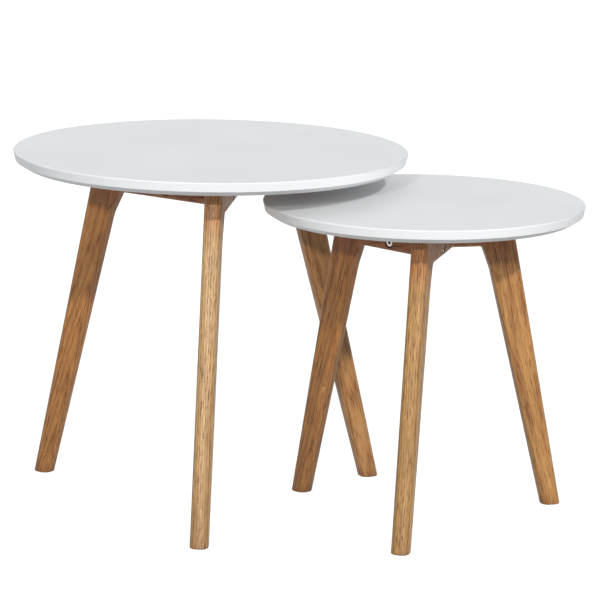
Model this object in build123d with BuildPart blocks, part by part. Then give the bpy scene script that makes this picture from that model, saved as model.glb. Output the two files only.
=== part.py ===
from build123d import *
from dataclasses import dataclass
from math import atan, cos, degrees, radians, sin, sqrt, tan
import os

# Set of two round three-legged nesting tables: lacquered tops on solid wood legs.
# Millimetres, +Z up.  Origin: middle of the whole set's footprint box, on the floor.
# +X runs to the right along the set's long side, +Y to the back.

# ---------------------------------------------------------------- both tables
TOP_THICKNESS = 17.5
LIP_HEIGHT = 11.4          # near-vertical part of the rim, leaning in a little
LIP_LEAN = 2.3
BEVEL_INSET = 10.0         # undercut below the lip
ARRIS = 1.2                # small round along the upper edge

LEG_THICKNESS_FOOT = 22.9
LEG_CORNER_FOOT = 9.5
EDGE_RADIUS = 7.0          # along the upper leg and the rail
FOOT_ROUND = 1.5
ROOT_RADIUS = 7.0          # where a leg turns into its rail
FLARE_RADIUS = 70.0        # where the leg's inner edge starts to flare
FLARE_HEIGHT = 30.0        # below the rail
BROW_RADIUS = 110.0        # where the leg's outer edge turns upright under the top
BROW_HEIGHT = 20.0
BROW_REACH = 3.0
SHAFT_GAP = 18.0           # from the flare down to the plain tapering shaft

RAIL_DEPTH = 45.8          # below the top's underside
RAIL_THICKNESS = 21.4
LEGS = ("left", "front", "right")
LEG_STEP = 120.0

DOWEL_RADIUS = 4.0
DOWEL_LENGTH = 32.0
DOWEL_HEIGHTS = (12.0, 32.0)       # above the rail's lower edge

BOLT_RADIUS = 3.0
BOLT_HOLE_RADIUS = 3.3
HEAD_RADIUS = 5.0
HEAD_HEIGHT = 4.0
SOCKET_FLATS = 5.0                 # hexagon key size
SOCKET_DEPTH = 3.0
SEAT_RADIUS = 6.6                  # counterbore for a bolt head
JOINT_SEAT_DEPTH = 4.8
JOINT_BOLT_SHIFT = 5.0             # towards the middle of the butting rail behind the face
JOINT_BOLT_HEIGHTS = (11.0, 33.0)  # above the rail's lower edge
INSERT_RADIUS = 5.0
JOINT_INSERT_LENGTH = 15.0
JOINT_BOLT_REACH = 13.0            # of the bolt inside its insert

TOP_SEAT_DEPTH = 24.0              # counterbore from below
TOP_SEAT_RADIUS = 7.0
WASHER_RADIUS = 6.5
WASHER_THICKNESS = 1.6
TOP_INSERT_LENGTH = 11.0
TOP_BOLT_REACH = 9.0


@dataclass
class Table:
    """One table: its size, where it stands, and how its rails meet and its legs splay."""

    name: str
    diameter: float
    height: float
    centre: tuple            # of the frame, x, y on the floor
    top_shift: float         # of the top from that centre, along X
    offset: float            # each rail passes the frame's centre at this distance
    foot_angle: float        # direction of the left foot, seen from above
    foot_reach: float        # middle of the foot, along its rail
    outer_lean: float        # of the leg's outer edge, from the vertical
    inner_lean: float
    foot_width: float
    flare: float             # extra width at the leg's root
    top_bolt: float          # place of the top's bolt along the rail, from the table's centre

    @property
    def underside(self):
        return self.height - TOP_THICKNESS

    @property
    def rail_bottom(self):
        return self.underside - RAIL_DEPTH

    def direction(self, i):
        """Compass angle of rail i in degrees."""
        turned = degrees(atan(self.offset / self.foot_reach))
        return self.foot_angle - turned + i * LEG_STEP

    def place(self, i, along, across, z):
        """Point on leg i: along its rail, across it from the table's centre, at height z."""
        a = radians(self.direction(i))
        x = self.centre[0] + along * cos(a) - across * sin(a)
        y = self.centre[1] + along * sin(a) + across * cos(a)
        return Vector(x, y, z)

    def along(self, i):
        a = radians(self.direction(i))
        return Vector(cos(a), sin(a), 0)

    def across(self, i):
        a = radians(self.direction(i))
        return Vector(-sin(a), cos(a), 0)

    def level(self, i, z):
        """Horizontal plane at height z: X along the rail, Y across it, from the rail's middle."""
        return Plane(self.place(i, 0, self.offset, z), x_dir=self.along(i), z_dir=(0, 0, 1))

    def flank(self, i, shift=0.0):
        """Upright plane along the rail: X along it, Y up, facing the table's centre."""
        return Plane(self.place(i, 0, self.offset + shift, 0), x_dir=self.along(i), z_dir=-self.across(i))

    def outer_edge(self, z):
        return self.foot_reach + self.foot_width / 2 - z * tan(radians(self.outer_lean))

    def inner_edge(self, z):
        return self.foot_reach - self.foot_width / 2 - z * tan(radians(self.inner_lean))

    def seam(self, z):
        """Place of the glued seam between leg and rail, parallel to the leg's inner edge."""
        return self.inner_edge(z) - self.flare

    @property
    def rail_start(self):
        """Middle of the rail's butting end, past the table's centre."""
        return -(1.5 * self.offset - RAIL_THICKNESS / 2) / cos(radians(30))

    @property
    def butt_place(self):
        """Where the next rail's inner face meets this rail's end, along that next rail."""
        return self.offset * sqrt(3) - RAIL_THICKNESS / (2 * sqrt(3))


LARGE = Table(
    name="large",
    diameter=495.6,
    height=450.0,
    centre=(-113.9, 13.4),
    top_shift=4.4,
    offset=27.6,
    foot_angle=150.3,
    foot_reach=243.7,
    outer_lean=13.6,
    inner_lean=15.7,
    foot_width=24.5,
    flare=8.0,
    top_bolt=76.0,
)
SMALL = Table(
    name="small",
    diameter=400.0,
    height=401.6,
    centre=(157.3, -61.2),
    top_shift=0.0,
    offset=22.4,
    foot_angle=142.2,
    foot_reach=183.6,
    outer_lean=11.3,
    inner_lean=13.9,
    foot_width=24.5,
    flare=4.0,
    top_bolt=51.0,
)


def finish(builder, name):
    """Label a piece and write it."""
    builder.part.label = name
    export_step(builder.part, f"parts/{name}.step")
    print(f"{name}: {builder.part.volume / 1000:.1f} cm3")


def next_leg(i):
    return (i + 1) % len(LEGS)


def joint_planes(table, i):
    """Planes at rail i's outer face, looking in, where the bolts of the rail that butts it go."""
    planes = []
    for height in JOINT_BOLT_HEIGHTS:
        z = table.rail_bottom + height
        along = table.butt_place - JOINT_BOLT_SHIFT
        spot = table.place(i, along, table.offset + RAIL_THICKNESS / 2, z)
        planes.append(Plane(spot, x_dir=table.along(i), z_dir=table.across(i)))
    return planes


def dowel_planes(table, i):
    """Planes square to the dowels, at the seam between leg i and its rail."""
    planes = []
    for height in DOWEL_HEIGHTS:
        z = table.rail_bottom + height
        spot = table.place(i, table.seam(z), table.offset, z)
        planes.append(Plane(spot, x_dir=table.across(i), z_dir=table.along(i)))
    return planes


def top_bolt_plane(table, i, z):
    spot = table.place(i, table.top_bolt, table.offset, z)
    return Plane(spot, x_dir=table.along(i), z_dir=(0, 0, 1))


# ---------------------------------------------------------------- wooden pieces
def make_top(table):
    """Disc with a leaning lip and an undercut bevel, bored for three inserts."""
    radius = table.diameter / 2
    lip_foot = table.height - LIP_HEIGHT
    middle = (table.centre[0] + table.top_shift, table.centre[1], 0)
    side = Plane(middle, x_dir=(1, 0, 0), z_dir=(0, -1, 0))
    with BuildPart() as top:
        with BuildSketch(side):
            with BuildLine():
                Polyline(
                    (0, table.height),
                    (0, table.underside),
                    (radius - LIP_LEAN - BEVEL_INSET, table.underside),
                    (radius - LIP_LEAN, lip_foot),
                    (radius, table.height - ARRIS),
                )
                RadiusArc((radius, table.height - ARRIS), (radius - ARRIS, table.height), -ARRIS)
                Line((radius - ARRIS, table.height), (0, table.height))
            make_face()
        revolve(axis=Axis(middle, (0, 0, 1)))
        for i in range(len(LEGS)):
            with Locations(top_bolt_plane(table, i, table.underside)):
                Cylinder(
                    INSERT_RADIUS,
                    TOP_INSERT_LENGTH,
                    align=(Align.CENTER, Align.CENTER, Align.MIN),
                    mode=Mode.SUBTRACT,
                )
    finish(top, f"{table.name}_top")


def make_arm(table, i):
    """Leg and rail as one smooth shape, before it is parted at the glued seam."""
    half = RAIL_THICKNESS / 2
    inner_end = table.rail_start - half * tan(radians(30))
    flare_foot = table.rail_bottom - FLARE_HEIGHT
    shaft_top = flare_foot - SHAFT_GAP
    brow_foot = table.underside - BROW_HEIGHT
    with BuildPart() as arm:
        with BuildSketch(table.flank(i)):
            with BuildLine():
                FilletPolyline(
                    (inner_end, table.rail_bottom),
                    (table.seam(table.rail_bottom), table.rail_bottom),
                    (table.inner_edge(flare_foot), flare_foot),
                    (table.inner_edge(shaft_top), shaft_top),
                    radius=[ROOT_RADIUS, FLARE_RADIUS],
                )
                FilletPolyline(
                    (table.outer_edge(shaft_top), shaft_top),
                    (table.outer_edge(brow_foot), brow_foot),
                    (table.outer_edge(table.underside) + BROW_REACH, table.underside),
                    radius=BROW_RADIUS,
                )
                Line((table.inner_edge(shaft_top), shaft_top), (table.outer_edge(shaft_top), shaft_top))
                Polyline(
                    (table.outer_edge(table.underside) + BROW_REACH, table.underside),
                    (inner_end, table.underside),
                    (inner_end, table.rail_bottom),
                )
            make_face()
        extrude(amount=half, both=True)
        ends = (shaft_top, table.underside)
        flanks = arm.faces().sort_by(SortBy.AREA)[-2:]
        long_edges = [
            edge
            for edge in flanks.edges()
            if min(abs(edge.center().Z - z) for z in ends) > 1 and along_rail(table, i, edge) > inner_end + 1
        ]
        fillet(long_edges, EDGE_RADIUS)
        # Tapering shaft below, rounder towards the foot
        shaft_face = arm.faces().sort_by(Axis.Z)[0]
        with BuildSketch(table.level(i, 0)) as foot:
            with Locations((table.foot_reach, 0)):
                RectangleRounded(table.foot_width, LEG_THICKNESS_FOOT, LEG_CORNER_FOOT)
        loft([foot.sketch.face(), -shaft_face])
        fillet(arm.edges().group_by(Axis.Z)[0], FOOT_ROUND)
    return arm.part


def along_rail(table, i, edge):
    """How far an edge's middle lies along rail i from the table's centre."""
    return (edge.center() - table.place(i, 0, 0, 0)).dot(table.along(i))


def seam_plane(table, i):
    """Plane of the glued seam; its normal points to the leg."""
    lean = radians(table.inner_lean)
    uphill = table.along(i) * -sin(lean) + Vector(0, 0, cos(lean))
    spot = table.place(i, table.seam(0), table.offset, 0)
    return Plane(spot, x_dir=table.across(i), z_dir=table.across(i).cross(uphill))


def make_leg(table, i, arm):
    """Splayed, tapering leg: the arm outside the seam, bored for two dowels."""
    with BuildPart() as leg:
        add(arm)
        split(bisect_by=seam_plane(table, i), keep=Keep.TOP)
        for plane in dowel_planes(table, i):
            with Locations(plane):
                Cylinder(DOWEL_RADIUS, DOWEL_LENGTH, mode=Mode.SUBTRACT)
    return leg


def make_rail(table, i, arm):
    """Level rail: the arm inside the seam, cut at 60 degrees where it butts the next rail."""
    after = next_leg(i)
    butt = table.flank(after, shift=-RAIL_THICKNESS / 2)
    with BuildPart() as rail:
        add(arm)
        split(bisect_by=seam_plane(table, i), keep=Keep.BOTTOM)
        split(bisect_by=butt, keep=Keep.TOP)
        for plane in dowel_planes(table, i):
            with Locations(plane):
                Cylinder(DOWEL_RADIUS, DOWEL_LENGTH, mode=Mode.SUBTRACT)
        # Holes for the bolts that hold the rail butting this one
        for plane in joint_planes(table, i):
            with Locations(plane):
                CounterBoreHole(BOLT_HOLE_RADIUS, SEAT_RADIUS, JOINT_SEAT_DEPTH, depth=RAIL_THICKNESS + 1)
        # Sockets for the inserts in this rail's own end
        for plane in joint_planes(table, after):
            with Locations(plane.offset(-RAIL_THICKNESS)):
                Cylinder(
                    INSERT_RADIUS,
                    JOINT_INSERT_LENGTH,
                    align=(Align.CENTER, Align.CENTER, Align.MAX),
                    mode=Mode.SUBTRACT,
                )
        # Counterbored hole for the bolt up into the top
        with Locations(top_bolt_plane(table, i, table.rail_bottom)):
            Cylinder(
                TOP_SEAT_RADIUS,
                TOP_SEAT_DEPTH,
                align=(Align.CENTER, Align.CENTER, Align.MIN),
                mode=Mode.SUBTRACT,
            )
            Cylinder(
                BOLT_HOLE_RADIUS,
                RAIL_DEPTH,
                align=(Align.CENTER, Align.CENTER, Align.MIN),
                mode=Mode.SUBTRACT,
            )
    return rail


# ---------------------------------------------------------------- hardware
def bolt_solid(length):
    """Bolt with a flat round head and a hexagon socket; the head's underside is at Z 0, head up."""
    with BuildPart(mode=Mode.PRIVATE) as bolt:
        Cylinder(HEAD_RADIUS, HEAD_HEIGHT, align=(Align.CENTER, Align.CENTER, Align.MIN))
        Cylinder(BOLT_RADIUS, length, align=(Align.CENTER, Align.CENTER, Align.MAX))
        fillet(bolt.edges().group_by(Axis.Z)[-1], 0.6)
        with BuildSketch(Plane.XY.offset(HEAD_HEIGHT)):
            RegularPolygon(SOCKET_FLATS / 2, 6, major_radius=False)
        extrude(amount=-SOCKET_DEPTH, mode=Mode.SUBTRACT)
    return bolt.part


def sleeve_solid(radius, bore, length):
    """Round sleeve from Z 0 upwards, open at both ends."""
    with BuildPart(mode=Mode.PRIVATE) as sleeve:
        Cylinder(radius, length, align=(Align.CENTER, Align.CENTER, Align.MIN))
        Cylinder(bore, length, align=(Align.CENTER, Align.CENTER, Align.MIN), mode=Mode.SUBTRACT)
    return sleeve.part


def make_dowels(table):
    with BuildPart() as dowels:
        for i in range(len(LEGS)):
            for plane in dowel_planes(table, i):
                with Locations(plane):
                    Cylinder(DOWEL_RADIUS, DOWEL_LENGTH)
    finish(dowels, f"{table.name}_leg_dowels")


def make_joint_hardware(table):
    """Bolts through each rail into threaded inserts in the end that butts it."""
    grip = RAIL_THICKNESS - JOINT_SEAT_DEPTH
    bolt = bolt_solid(grip + JOINT_BOLT_REACH)
    insert = sleeve_solid(INSERT_RADIUS, BOLT_RADIUS, JOINT_INSERT_LENGTH)
    outer_faces = [plane for i in range(len(LEGS)) for plane in joint_planes(table, i)]
    with BuildPart() as bolts:
        for plane in outer_faces:
            with Locations(plane.offset(-JOINT_SEAT_DEPTH)):
                add(bolt)
    finish(bolts, f"{table.name}_joint_bolts")
    with BuildPart() as inserts:
        for plane in outer_faces:
            with Locations(plane.offset(-RAIL_THICKNESS - JOINT_INSERT_LENGTH)):
                add(insert)
    finish(inserts, f"{table.name}_joint_inserts")


def make_top_hardware(table):
    """Bolts and washers in the rails' counterbores, and the inserts in the top."""
    seat = table.rail_bottom + TOP_SEAT_DEPTH
    grip = RAIL_DEPTH - TOP_SEAT_DEPTH + WASHER_THICKNESS
    bolt = bolt_solid(grip + TOP_BOLT_REACH).rotate(Axis.X, 180)
    washer = sleeve_solid(WASHER_RADIUS, BOLT_HOLE_RADIUS, WASHER_THICKNESS)
    insert = sleeve_solid(INSERT_RADIUS, BOLT_RADIUS, TOP_INSERT_LENGTH)
    groups = (
        ("top_bolts", bolt, seat - WASHER_THICKNESS),
        ("top_washers", washer, seat - WASHER_THICKNESS),
        ("top_inserts", insert, table.underside),
    )
    for name, solid, z in groups:
        with BuildPart() as group:
            for i in range(len(LEGS)):
                with Locations(top_bolt_plane(table, i, z)):
                    add(solid)
        finish(group, f"{table.name}_{name}")


# ---------------------------------------------------------------- build
os.makedirs("parts", exist_ok=True)
for size in (LARGE, SMALL):
    make_top(size)
    for number, side_name in enumerate(LEGS):
        whole_arm = make_arm(size, number)
        finish(make_leg(size, number, whole_arm), f"{size.name}_leg_{side_name}")
        finish(make_rail(size, number, whole_arm), f"{size.name}_rail_{side_name}")
    make_dowels(size)
    make_joint_hardware(size)
    make_top_hardware(size)
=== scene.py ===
import bpy
import math
import numpy as np
from mathutils import Matrix, Vector


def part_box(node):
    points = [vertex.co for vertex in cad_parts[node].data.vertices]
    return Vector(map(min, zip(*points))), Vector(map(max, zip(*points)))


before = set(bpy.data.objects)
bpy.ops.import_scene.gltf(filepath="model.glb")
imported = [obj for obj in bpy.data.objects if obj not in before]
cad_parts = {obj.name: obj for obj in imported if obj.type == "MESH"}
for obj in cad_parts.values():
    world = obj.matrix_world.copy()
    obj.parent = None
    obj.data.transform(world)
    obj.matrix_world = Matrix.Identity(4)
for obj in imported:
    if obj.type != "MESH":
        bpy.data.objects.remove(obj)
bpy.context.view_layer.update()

# Set of two round nesting tables: white lacquered tops on oiled oak legs.  Metres, in the CAD frame.

TABLES = ("large", "small")
SIDES = ("left", "front", "right")

# Light and dark wood of each leg and its rail
TINTS = {
    ("large", "left"): ((0.44, 0.19, 0.047), (0.27, 0.093, 0.017)),
    ("large", "front"): ((0.60, 0.36, 0.155), (0.40, 0.19, 0.062)),
    ("large", "right"): ((0.48, 0.235, 0.074), (0.30, 0.115, 0.029)),
    ("small", "left"): ((0.39, 0.165, 0.037), (0.24, 0.083, 0.014)),
    ("small", "front"): ((0.49, 0.27, 0.09), (0.31, 0.14, 0.038)),
    ("small", "right"): ((0.485, 0.24, 0.072), (0.31, 0.118, 0.029)),
}
# Painted shade and light: factors on the wood's colour at the floor and at the underside of the top, darker
# towards the floor and lighter up high
PAINTED_HEIGHT_SHADES = {
    ("large", "left"): (0.78, 1.16),
    ("large", "front"): ((0.68, 0.64, 0.58), (1.14, 1.23, 1.33)),
    ("large", "right"): (0.86, 1.08),
    ("small", "left"): (0.66, 1.30),
    ("small", "front"): (0.87, 1.02),
    ("small", "right"): (0.86, 1.04),
}
# How far the heart of the tree lies from a board: across its wide face, and through it
PITHS = {"left": (0.030, 0.045), "front": (0.010, 0.060), "right": (0.004, 0.038)}
# How far below a tabletop's underside the painted shade under the top starts to darken and redden the wood,
# and where it is darkest
UNDER_TOP_SHADE_START, UNDER_TOP_SHADE_FULL = 0.075, 0.040

# Growth rings: their closeness, how far they tilt along the grain, and how far they wander
RINGS_PER_METRE = 300.0
RING_LEAN = 0.06
RING_WANDER = 0.014

# How far the painted shade reaches out of a corner of the wood, and out of a recess of the hardware
CORNER_SHADE_REACH = 0.030
RECESS_SHADE_REACH = 0.004
OCCLUSION_SAMPLES = 4

BEECH_LIGHT, BEECH_DARK = (0.62, 0.43, 0.25), (0.50, 0.32, 0.17)
BEECH_PITH = (0.1, 0.1)
NO_HEIGHT_SHADE = (1.0, 1.0)
ABOVE_ALL = 1.0                                     # an underside too far up for the painted shade under the top to reach the dowels

LACQUER_COLOURS = ((0.772, 0.776, 0.778), (0.800, 0.801, 0.800))
STEEL_COLOURS = ((0.60, 0.60, 0.60), (0.78, 0.78, 0.77))
BRASS_COLOURS = ((0.55, 0.40, 0.17), (0.70, 0.54, 0.26))

FLOOR_HALF = 20.0
FLOOR_GLOW = 0.88
DAYLIGHT = (0.97, 1.0, 1.025)

CAMERA_LENS, CAMERA_SENSOR = 223.5, 36.0            # millimetres
CAMERA_PLACE = (0.00523, -4.6088, 1.2096)
CAMERA_DOWN, CAMERA_ROLL = 11.625, 0.90             # degrees
CAMERA_FAR = 100.0


# ---------------------------------------------------------------- node helpers
def new_material(name):
    """Empty node material, and its node tree to fill."""
    material = bpy.data.materials.new(name)
    material.use_nodes = True
    tree = material.node_tree
    tree.nodes.clear()
    return material, tree


def add_node(tree, kind, inputs=None, **settings):
    """Adds a node, sets its properties, and fills inputs: a value sets a socket, a socket links to it."""
    node = tree.nodes.new(kind)
    for key, value in settings.items():
        setattr(node, key, value)
    for key, value in (inputs or {}).items():
        if isinstance(value, bpy.types.NodeSocket):
            tree.links.new(value, node.inputs[key])
        else:
            node.inputs[key].default_value = value
    return node


def math_node(tree, operation, first, second=0.0, clamp=False):
    node = add_node(tree, "ShaderNodeMath", {0: first, 1: second}, operation=operation, use_clamp=clamp)
    return node.outputs[0]


def ramp(tree, factor, stops):
    """Colour ramp through (position, colour) stops; a number stands for a grey."""
    node = add_node(tree, "ShaderNodeValToRGB", {"Fac": factor})
    elements = node.color_ramp.elements
    while len(elements) < len(stops):
        elements.new(0.5)
    for element, (position, colour) in zip(elements, stops):
        element.position = position
        if isinstance(colour, (int, float)):
            colour = (colour, colour, colour)
        element.color = (*colour, 1.0)
    return node.outputs["Color"]


def mix(tree, factor, first, second, blend="MIX"):
    """Mixes two colours."""
    node = tree.nodes.new("ShaderNodeMix")
    node.data_type = "RGBA"
    node.blend_type = blend
    # Sockets of the colour mixer: 0 is the factor, 6 and 7 are the two colours
    for key, value in ((0, factor), (6, first), (7, second)):
        if isinstance(value, bpy.types.NodeSocket):
            tree.links.new(value, node.inputs[key])
        elif key:
            node.inputs[key].default_value = (*value, 1.0)
        else:
            node.inputs[key].default_value = value
    return node.outputs[2]


def multiply(tree, first, second, factor=1.0):
    """Colour darkened or lightened by another."""
    return mix(tree, factor, first, second, "MULTIPLY")


def noise(tree, vector, scale, detail=2.0, roughness=0.5):
    inputs = {"Vector": vector, "Scale": scale, "Detail": detail, "Roughness": roughness}
    return add_node(tree, "ShaderNodeTexNoise", inputs).outputs["Fac"]


def object_place(tree):
    """Position in the frame: every CAD object lies at its origin."""
    return add_node(tree, "ShaderNodeTexCoord").outputs["Object"]


def occlusion(tree, reach):
    """How open a point is: low in corners tighter than reach."""
    return add_node(
        tree, "ShaderNodeAmbientOcclusion", {"Distance": reach}, samples=OCCLUSION_SAMPLES,
    ).outputs["AO"]


def finish_surface(tree, inputs):
    """Principled shader with these inputs, joined to the output."""
    shader = add_node(tree, "ShaderNodeBsdfPrincipled", inputs)
    add_node(tree, "ShaderNodeOutputMaterial", {"Surface": shader.outputs[0]})


# ---------------------------------------------------------------- oak
def board_axes(node):
    """Middle of a board and its axes, from its mesh: along the grain, across its wide face, through it."""
    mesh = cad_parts[node].data
    points = np.empty(len(mesh.vertices) * 3)
    mesh.vertices.foreach_get("co", points)
    points = points.reshape(-1, 3)
    spread = np.linalg.eigh(np.cov((points - points.mean(0)).T))[1]
    along, wide = spread[:, 2], spread[:, 1]
    return Vector(points.mean(0)), Vector(along), Vector(wide), Vector(np.cross(along, wide))


def growth_rings(tree, board, wander, pith):
    """Brightness of the rings: distance from the pith, wandering slowly along the grain."""
    axes = add_node(tree, "ShaderNodeSeparateXYZ", {"Vector": board})
    across = math_node(tree, "ADD", axes.outputs[1], pith[0])
    through = math_node(tree, "ADD", axes.outputs[2], pith[1])
    lean = math_node(tree, "MULTIPLY", axes.outputs[0], RING_LEAN)
    across = math_node(tree, "ADD", across, lean)
    distance = math_node(
        tree, "SQRT",
        math_node(tree, "ADD", math_node(tree, "MULTIPLY", across, across),
                  math_node(tree, "MULTIPLY", through, through)),
    )
    bent = math_node(tree, "ADD", distance, math_node(tree, "MULTIPLY", wander, RING_WANDER))
    rings = math_node(tree, "FRACT", math_node(tree, "MULTIPLY", bent, RINGS_PER_METRE))
    one_ring = [(0.0, 0.20), (0.16, 0.65), (0.50, 1.0), (0.82, 0.82), (0.95, 0.40), (1.0, 0.20)]
    return ramp(tree, rings, one_ring)


def painted_shading(tree, colour, place, underside, height_shade):
    """Painted shade and light: darker in corners and creases, darker towards the floor and lighter towards
    the top, and darker and redder close under the top.
    """
    # Painted shade: the wood darkened where parts meet and in tight corners, where less light reaches
    corner_shade = ramp(tree, occlusion(tree, CORNER_SHADE_REACH), [(0.15, (0.42, 0.27, 0.20)), (0.75, (1.0, 1.0, 1.0))])
    colour = multiply(tree, colour, corner_shade)
    # Painted shade and light: the wood darker towards the floor and lighter towards the top
    height = add_node(tree, "ShaderNodeSeparateXYZ", {"Vector": place}).outputs[2]
    colour = multiply(tree, colour, ramp(tree, height, [(0.0, height_shade[0]), (underside, height_shade[1])]))
    # Painted shade: the wood darker and redder close under the top, where the top keeps light off
    stops = [(underside - UNDER_TOP_SHADE_START, (1.0, 1.0, 1.0)), (underside - UNDER_TOP_SHADE_FULL, (0.88, 0.66, 0.54))]
    under_top_shade = ramp(tree, height, stops)
    return multiply(tree, colour, under_top_shade)


def oak(name, node, seed, light, dark, pith, underside, height_shade):
    """Oiled oak with its growth rings, pores and flecks running along the board."""
    material, tree = new_material(name)
    middle, along, wide, thin = board_axes(node)
    turn = Matrix((along, wide, thin)).to_euler()
    place = object_place(tree)
    centred = add_node(tree, "ShaderNodeVectorMath", {0: place, 1: middle}, operation="SUBTRACT").outputs[0]
    board = add_node(tree, "ShaderNodeMapping", {"Vector": centred, "Rotation": turn}).outputs[0]
    shift = (seed * 1.37, seed * 0.73, seed * 2.11)
    shifted = add_node(tree, "ShaderNodeVectorMath", {0: board, 1: shift}, operation="ADD").outputs[0]

    def grain(along_scale, wide_scale, thin_scale, detail, roughness):
        """Noise stretched along the board: more cycles a metre mean finer marks."""
        scale = (along_scale, wide_scale, thin_scale)
        stretched = add_node(tree, "ShaderNodeMapping", {"Vector": shifted, "Scale": scale}).outputs[0]
        return noise(tree, stretched, 1.0, detail, roughness)

    ring_colour = growth_rings(tree, board, grain(3.2, 11.0, 11.0, 2.0, 0.5), pith)
    streaks = grain(2.4, 150.0, 150.0, 3.0, 0.55)
    patches = grain(3.0, 20.0, 20.0, 2.0, 0.5)
    fine = grain(20.0, 760.0, 760.0, 3.0, 0.65)

    # Open pores: dark dashes along the grain, denser in the early wood
    dashes = grain(55.0, 1250.0, 1250.0, 2.0, 0.55)
    early = math_node(tree, "MULTIPLY", math_node(tree, "SUBTRACT", 1.0, ring_colour), 0.08)
    pores = math_node(tree, "ADD", dashes, early)
    pore_mask = ramp(tree, pores, [(0.0, 0.0), (0.57, 0.0), (0.65, 1.0), (1.0, 1.0)])

    # Rays: small pale flecks across the grain
    rays = grain(210.0, 60.0, 900.0, 1.0, 0.4)
    ray_mask = ramp(tree, rays, [(0.0, 0.0), (0.69, 0.0), (0.76, 0.35), (1.0, 0.35)])
    ray_colour = tuple(min(1.0, channel * 1.25) for channel in light)

    colour = mix(tree, ring_colour, dark, light)
    colour = multiply(tree, colour, ramp(tree, streaks, [(0.28, 0.70), (0.50, 1.0), (0.75, 1.18)]), 0.65)
    colour = multiply(tree, colour, ramp(tree, patches, [(0.30, 0.80), (0.70, 1.14)]), 0.45)
    colour = multiply(tree, colour, ramp(tree, fine, [(0.32, 0.52), (0.68, 1.30)]), 0.62)
    colour = mix(tree, ray_mask, colour, ray_colour)
    dark_pore = (dark[0] * 0.34, dark[1] * 0.26, dark[2] * 0.22)
    colour = mix(tree, math_node(tree, "MULTIPLY", pore_mask, 0.80), colour, dark_pore)
    colour = painted_shading(tree, colour, place, underside, height_shade)

    rough = ramp(tree, streaks, [(0.2, 0.50), (0.8, 0.40)])
    rough = math_node(tree, "ADD", rough, math_node(tree, "MULTIPLY", pore_mask, 0.22), clamp=True)
    relief = math_node(tree, "SUBTRACT", math_node(tree, "MULTIPLY", ring_colour, 0.35), pore_mask)
    relief = math_node(tree, "ADD", relief, math_node(tree, "MULTIPLY", fine, 0.3))
    bump = add_node(tree, "ShaderNodeBump", {"Strength": 0.35, "Distance": 0.00025, "Height": relief})
    finish_surface(tree, {
        "Base Color": colour, "Roughness": rough, "Normal": bump.outputs[0],
        "Specular IOR Level": 0.35, "Coat Weight": 0.05, "Coat Roughness": 0.35,
    })
    return material


# ---------------------------------------------------------------- other finishes
def lacquer(name, seed):
    """Sprayed satin white: a trace of orange peel and slight clouding."""
    material, tree = new_material(name)
    place = object_place(tree)
    shifted = add_node(tree, "ShaderNodeVectorMath", {0: place, 1: (seed, 0, 0)}, operation="ADD").outputs[0]
    clouds = noise(tree, shifted, 9.0, 3.0, 0.55)
    peel = noise(tree, shifted, 1100.0, 2.0, 0.5)
    low, high = LACQUER_COLOURS
    colour = ramp(tree, clouds, [(0.25, low), (0.75, high)])
    rough = ramp(tree, clouds, [(0.2, 0.44), (0.8, 0.50)])
    bump = add_node(tree, "ShaderNodeBump", {"Strength": 0.10, "Distance": 0.00008, "Height": peel})
    finish_surface(tree, {
        "Base Color": colour, "Roughness": rough, "Normal": bump.outputs[0],
        "Specular IOR Level": 0.28, "Coat Weight": 0.03, "Coat Roughness": 0.40,
    })
    return material


def metal(name, colours, rough_low, rough_high):
    """Metal with fine turning marks, a slight tarnish and painted shade in its recesses."""
    material, tree = new_material(name)
    place = object_place(tree)
    stains = noise(tree, place, 160.0, 4.0, 0.6)
    marks = noise(tree, place, 2600.0, 2.0, 0.5)
    low, high = colours
    colour = ramp(tree, stains, [(0.3, low), (0.7, high)])
    # Painted shade: the metal darkened in its recesses, where less light reaches
    recess_shade = ramp(tree, occlusion(tree, RECESS_SHADE_REACH), [(0.25, 0.10), (0.80, 1.0)])
    colour = multiply(tree, colour, recess_shade)
    rough = ramp(tree, stains, [(0.3, rough_high), (0.7, rough_low)])
    bump = add_node(tree, "ShaderNodeBump", {"Strength": 0.25, "Distance": 0.00005, "Height": marks})
    finish_surface(tree, {
        "Base Color": colour, "Metallic": 1.0, "Roughness": rough, "Normal": bump.outputs[0],
    })
    return material


def dress(node, material):
    """Gives a CAD node its finish."""
    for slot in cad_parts[node].material_slots:
        slot.material = material


def dress_tables():
    """Every board of both tables has a finish of its own, so that no two share their grain."""
    steel = metal("bolt_steel", STEEL_COLOURS, 0.24, 0.38)
    brass = metal("insert_brass", BRASS_COLOURS, 0.28, 0.42)
    for t, table in enumerate(TABLES):
        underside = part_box(f"{table}_top")[0][2]
        dress(f"{table}_top", lacquer(f"{table}_top_lacquer", 3.0 * t))
        for s, side in enumerate(SIDES):
            light, dark = TINTS[table, side]
            height_shade = PAINTED_HEIGHT_SHADES[table, side]
            for k, kind in enumerate(("leg", "rail")):
                node = f"{table}_{kind}_{side}"
                seed = 1.0 + 6 * t + 2 * s + k
                dress(node, oak(f"{node}_oak", node, seed, light, dark, PITHS[side], underside, height_shade))
        dowels = f"{table}_leg_dowels"
        seed = 20.0 + t
        beech = oak(f"{table}_beech", dowels, seed, BEECH_LIGHT, BEECH_DARK, BEECH_PITH, ABOVE_ALL, NO_HEIGHT_SHADE)
        dress(dowels, beech)
        for hardware in ("joint_bolts", "top_bolts", "top_washers"):
            dress(f"{table}_{hardware}", steel)
        for hardware in ("joint_inserts", "top_inserts"):
            dress(f"{table}_{hardware}", brass)


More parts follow.
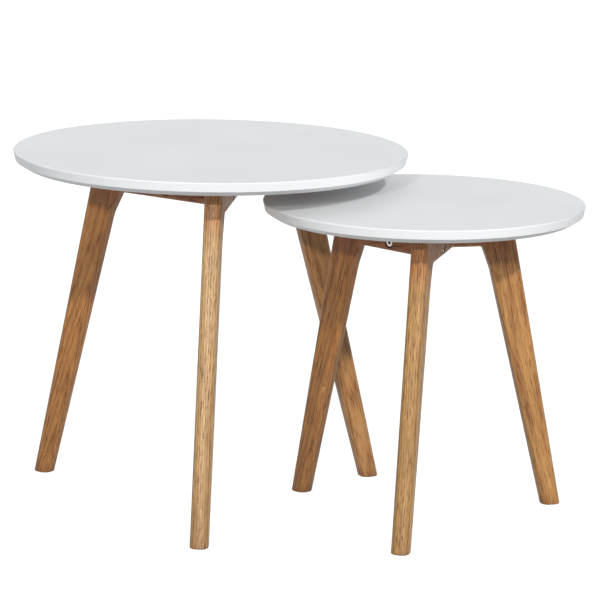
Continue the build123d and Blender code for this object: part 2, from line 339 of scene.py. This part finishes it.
# ---------------------------------------------------------------- stage
def make_floor():
    """Plain pale floor, a little luminous like a studio sweep, that throws no light back up."""
    half = FLOOR_HALF
    mesh = bpy.data.meshes.new("floor")
    corners = [(-half, -half, 0), (half, -half, 0), (half, half, 0), (-half, half, 0)]
    mesh.from_pydata(corners, [], [(0, 1, 2, 3)])
    floor = bpy.data.objects.new("floor", mesh)
    bpy.context.scene.collection.objects.link(floor)
    material, tree = new_material("floor")
    colour = ramp(tree, noise(tree, object_place(tree), 0.8), [(0.3, 0.24), (0.7, 0.27)])
    finish_surface(tree, {
        "Base Color": colour, "Roughness": 0.9,
        "Emission Color": (1, 1, 1, 1), "Emission Strength": FLOOR_GLOW,
    })
    mesh.materials.append(material)
    floor.visible_diffuse = False


def make_light():
    """Soft light from above and around, dimmer from below, and two suns from the camera's side."""
    world = bpy.data.worlds.new("studio")
    world.use_nodes = True
    tree = world.node_tree
    tree.nodes.clear()
    heading = add_node(tree, "ShaderNodeTexCoord").outputs["Generated"]
    height = add_node(tree, "ShaderNodeSeparateXYZ", {"Vector": heading}).outputs[2]
    # From -1 straight down to 1 straight up, as 0 to 1
    share = math_node(tree, "ADD", math_node(tree, "MULTIPLY", height, 0.5), 0.5)
    glow = ramp(tree, share, [(0.0, 0.26), (0.47, 0.36), (0.55, 0.49), (1.0, 0.67)])
    daylight = multiply(tree, glow, DAYLIGHT)
    sky = add_node(tree, "ShaderNodeBackground", {"Color": daylight, "Strength": 1.0})
    add_node(tree, "ShaderNodeOutputWorld", {"Surface": sky.outputs[0]})
    bpy.context.scene.world = world
    add_sun("key", energy=1.90, softness=2.5, elevation=30.0, swing=22.0)
    add_sun("low", energy=1.14, softness=2.0, elevation=17.5, swing=-8.0)


def add_sun(name, energy, softness, elevation, swing):
    """Distant lamp on the camera's side, swung towards +X; angles in degrees."""
    light = bpy.data.lights.new(name, "SUN")
    light.energy = energy
    light.angle = math.radians(softness)
    lamp = bpy.data.objects.new(name, light)
    elevation, swing = math.radians(elevation), math.radians(swing)
    towards = Vector((
        math.sin(swing) * math.cos(elevation), -math.cos(swing) * math.cos(elevation), math.sin(elevation),
    ))
    lamp.rotation_euler = towards.to_track_quat("Z", "Y").to_euler()
    bpy.context.scene.collection.objects.link(lamp)


def make_camera():
    """Long lens, well above the tops and looking slightly down."""
    data = bpy.data.cameras.new("camera")
    data.sensor_width = CAMERA_SENSOR
    data.lens = CAMERA_LENS
    data.clip_end = CAMERA_FAR
    camera = bpy.data.objects.new("camera", data)
    camera.location = CAMERA_PLACE
    down, roll = math.radians(CAMERA_DOWN), math.radians(CAMERA_ROLL)
    turn = Matrix.Rotation(math.pi / 2 - down, 3, "X") @ Matrix.Rotation(roll, 3, "Z")
    camera.rotation_euler = turn.to_euler()
    bpy.context.scene.collection.objects.link(camera)
    bpy.context.scene.camera = camera


make_camera()
make_floor()
make_light()
dress_tables()
bpy.context.scene.view_settings.view_transform = "Standard"
